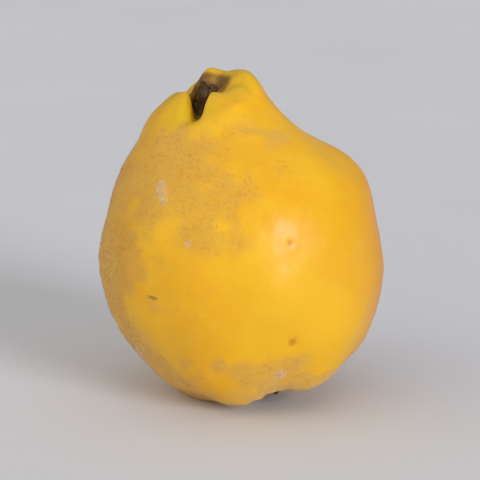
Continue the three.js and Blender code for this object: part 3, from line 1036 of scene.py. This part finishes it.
class BuildDown(bpy.types.Operator):
    """Grow the down: short bent hairs on the felted patches, and a few tufts of lint"""

    bl_idname = "quince.down"
    bl_label = "Down"

    def execute(self, context):
        sizes = context.scene.quince_down
        fruit = Fruit(context.scene.quince_form)
        look = hair_look(context.scene.quince_colours)
        for name, shape, pale in (("down_hairs", self.hairs, 0.0), ("lint_tufts", self.lint, 1.0)):
            piece = many_pieces(name, fruit.stand(shape(fruit, sizes)))
            store(piece, "pale", np.full(len(piece.data.vertices), pale))
            piece.data.materials.append(look)
            belongs(piece, "skin")
        return {"FINISHED"}

    def lint(self, fruit, sizes):
        """Loose fibres in tufts: each is a thin closed tube along a curl, which is an arc out of
        the skin with two random sines across it, thinning to nothing at both ends."""
        draw = np.random.default_rng(SEED + 70)
        rows, columns = 10, 3
        middles, outs = [], []
        for where, at, _ in LINT:
            round_way, up = near(fruit.angle, fruit.height, fruit.reach, where, at)
            away = round_way**2 + up**2 + 1000 * (fruit.reach < 8.5)
            spot = np.unravel_index(np.argmin(away), away.shape)
            middles.append(fruit.points[spot])
            outs.append(fruit.out[spot])
        tuft = np.repeat(np.arange(len(LINT)), sizes.fibres)
        out = np.array(outs)[tuft][:, None]
        spread = LINT[tuft, 2][:, None, None]
        count = len(tuft)

        def along_skin():
            way = draw.normal(size=(count, 1, 3))
            way -= out * (way * out).sum(axis=-1, keepdims=True)
            return way / np.linalg.norm(way, axis=-1, keepdims=True)

        lead, across = along_skin(), along_skin()
        share = np.linspace(0, 1, rows)[None, :, None]
        length = spread * draw.uniform(1.0, 3.0, (count, 1, 1))
        aside = spread * draw.uniform(0, 1.0, (count, 1, 1)) ** 0.7
        start = np.array(middles)[tuft][:, None] + across * aside
        phase = draw.uniform(0, TURN, (2, count, 1, 1))
        spine = (
            start - 0.15 * out
            + lead * length * (share - 0.5)
            + out * length * draw.uniform(0.02, 0.16, (count, 1, 1)) * np.sin(np.pi * share)
            + across * 0.22 * length * np.sin(1.1 * TURN * share + phase[0])
            + out * 0.10 * length * np.sin(1.7 * TURN * share + phase[1]) * np.sin(np.pi * share)
        )
        turn = (np.arange(columns) / columns * TURN)[None, None, :, None]
        side = np.cross(out, lead)
        thick = 0.45 * sizes.hair_radius / MM * np.sqrt(np.sin(np.pi * share))[:, :, None]
        ring = out[:, :, None] * np.cos(turn) + side[:, :, None] * np.sin(turn)
        return spine[:, :, None] + thick * ring

    def hairs(self, fruit, sizes):
        """Closed three-sided spikes. Each is rooted at a random place on the surface, drawn by the
        area round it and by how downy it is, and bends from the normal towards its own way along
        the skin."""
        draw = np.random.default_rng(SEED + 60)
        around = np.roll(fruit.points, -1, axis=1) - fruit.points
        up = np.zeros_like(around)
        up[:-1] = fruit.points[1:] - fruit.points[:-1]
        area = np.linalg.norm(np.cross(around, up), axis=-1)
        ragged = 0.55 * grain(fruit.points, 9, 61) + 0.45 * grain(fruit.points, 3.5, 62)
        cover = smooth(0.35, 0.75, fruit.down() + 0.22 * ragged)
        weight = area * (0.97 * cover + 0.03 * smooth(0.05, 0.4, fruit.down()))
        weight[:2] = weight[-2:] = 0
        stood = fruit.points @ fruit.turn.T + fruit.lift
        weight[stood[..., 2] < 0.4] = 0
        chosen = draw.choice(weight.size, size=sizes.hairs, p=(weight / weight.sum()).ravel())
        row, column = np.unravel_index(chosen, weight.shape)
        step = draw.uniform(0, 1, (2, sizes.hairs, 1))
        root = fruit.points[row, column] + around[row, column] * step[0] + up[row, column] * step[1]
        out = fruit.out[row, column]
        any_way = draw.normal(size=(sizes.hairs, 3))
        along = any_way - out * (any_way * out).sum(axis=-1, keepdims=True)
        along /= np.linalg.norm(along, axis=-1, keepdims=True)
        length = sizes.hair_length / MM * draw.uniform(0.45, 1.0, (sizes.hairs, 1, 1))

        share = np.array([0, 0, 0.55, 1.0])[None, :, None]
        thick = sizes.hair_radius / MM * np.array([0, 1, 0.75, 0])[None, :, None, None]
        lean = draw.uniform(0.5, 1.5, (sizes.hairs, 1, 1))
        rise = length * np.sin(0.9 * share) * 0.75
        drift = length * lean * share**1.6 * 0.7
        spine = (
            root[:, None] - 0.12 * out[:, None]
            + out[:, None] * rise
            + along[:, None] * drift
        )
        turn = np.arange(3) / 3 * TURN
        side = np.cross(out, along)
        ring = (
            along[:, None] * np.cos(turn)[None, :, None] + side[:, None] * np.sin(turn)[None, :, None]
        )
        return spine[:, :, None] + thick * ring[:, None]


class BuildStage(bpy.types.Operator):
    """Lay the floor and set up the lights and the camera"""

    bl_idname = "quince.stage"
    bl_label = "Stage"

    FLOOR_HALF, FLOOR_GAP = 6.0, 0.0001
    WHITE, WARM = (1.0, 1.0, 1.0), (1.0, 0.94, 0.74)
    # Name, where it comes from, degrees across, strength, colour.
    LIGHTS = (
        ("key_light", (0.605, -0.75, 0.32), 24, 2.0, WHITE),
        ("fill_light", (-0.82, -0.56, -0.02), 110, 1.35, WARM),
        ("top_light", (-0.2, -0.1, 1.0), 90, 0.64, WARM),
    )
    ROOM_COLOUR, ROOM_STRENGTH = (0.80, 0.81, 0.84, 1.0), 0.35
    LOOK_AT = Vector((0.0, 0.0, 0.047))
    CAMERA_RISE, CAMERA_DISTANCE, LENS = radians(14), 0.60, 150.0

    def execute(self, context):
        scene = context.scene
        half = self.FLOOR_HALF
        corners = np.array([[-half, -half, 0], [half, -half, 0], [half, half, 0], [-half, half, 0]])
        floor = make_mesh("floor", corners - [0, 0, self.FLOOR_GAP], np.arange(4), np.array([4]))
        floor.data.materials.append(floor_look(scene.quince_colours))

        for light in self.LIGHTS:
            self.sky_patch(scene, *light)
        world = bpy.data.worlds.new("pale_room")
        world.use_nodes = True
        backdrop = world.node_tree.nodes["Background"]
        backdrop.inputs["Color"].default_value = self.ROOM_COLOUR
        backdrop.inputs["Strength"].default_value = self.ROOM_STRENGTH
        scene.world = world

        camera = bpy.data.objects.new("camera", bpy.data.cameras.new("camera"))
        scene.collection.objects.link(camera)
        camera.data.lens = self.LENS
        away = Vector((0.0, -np.cos(self.CAMERA_RISE), np.sin(self.CAMERA_RISE)))
        camera.location = self.LOOK_AT + self.CAMERA_DISTANCE * away
        camera.rotation_euler = (-away).to_track_quat("-Z", "Y").to_euler()
        scene.camera = camera
        scene.view_settings.view_transform = "Standard"
        return {"FINISHED"}

    def sky_patch(self, scene, name, comes_from, spread, strength, colour):
        """Soft light from a round patch of the sky, so many degrees across."""
        light = bpy.data.lights.new(name, "SUN")
        light.angle = radians(spread)
        light.energy = strength
        light.color = colour
        lamp = bpy.data.objects.new(name, light)
        scene.collection.objects.link(lamp)
        lamp.location = comes_from
        lamp.rotation_euler = (-Vector(comes_from)).to_track_quat("-Z", "Y").to_euler()


class QuincePanel(bpy.types.Panel):
    """Lists the sizes, the colours and the operators"""

    bl_idname = "VIEW3D_PT_quince"
    bl_label = "Quince"
    bl_space_type = "VIEW_3D"
    bl_region_type = "UI"
    bl_category = "Quince"

    def draw(self, context):
        for name, group in GROUPS.items():
            box = self.layout.box()
            box.label(text=name.replace("quince_", "").capitalize())
            for prop in group.__annotations__:
                box.prop(getattr(context.scene, name), prop)
        for operator in OPERATORS:
            self.layout.operator(operator.bl_idname)


GROUPS = {
    "quince_form": QuinceForm,
    "quince_stem": QuinceStem,
    "quince_flower": QuinceFlower,
    "quince_down": QuinceDown,
    "quince_colours": QuinceColours,
}
OPERATORS = (BuildFruit, BuildStem, BuildFlower, BuildDown, BuildStage)


def register():
    for group in GROUPS.values():
        bpy.utils.register_class(group)
    for operator in OPERATORS:
        bpy.utils.register_class(operator)
    bpy.utils.register_class(QuincePanel)
    for name, group in GROUPS.items():
        setattr(bpy.types.Scene, name, PointerProperty(type=group))


def unregister():
    for name in GROUPS:
        delattr(bpy.types.Scene, name)
    for made in (QuincePanel, *reversed(OPERATORS), *GROUPS.values()):
        bpy.utils.unregister_class(made)


def main():
    register()
    for operator in OPERATORS:
        group, name = operator.bl_idname.split(".")
        getattr(getattr(bpy.ops, group), name)()


if __name__ == "__main__":
    main()
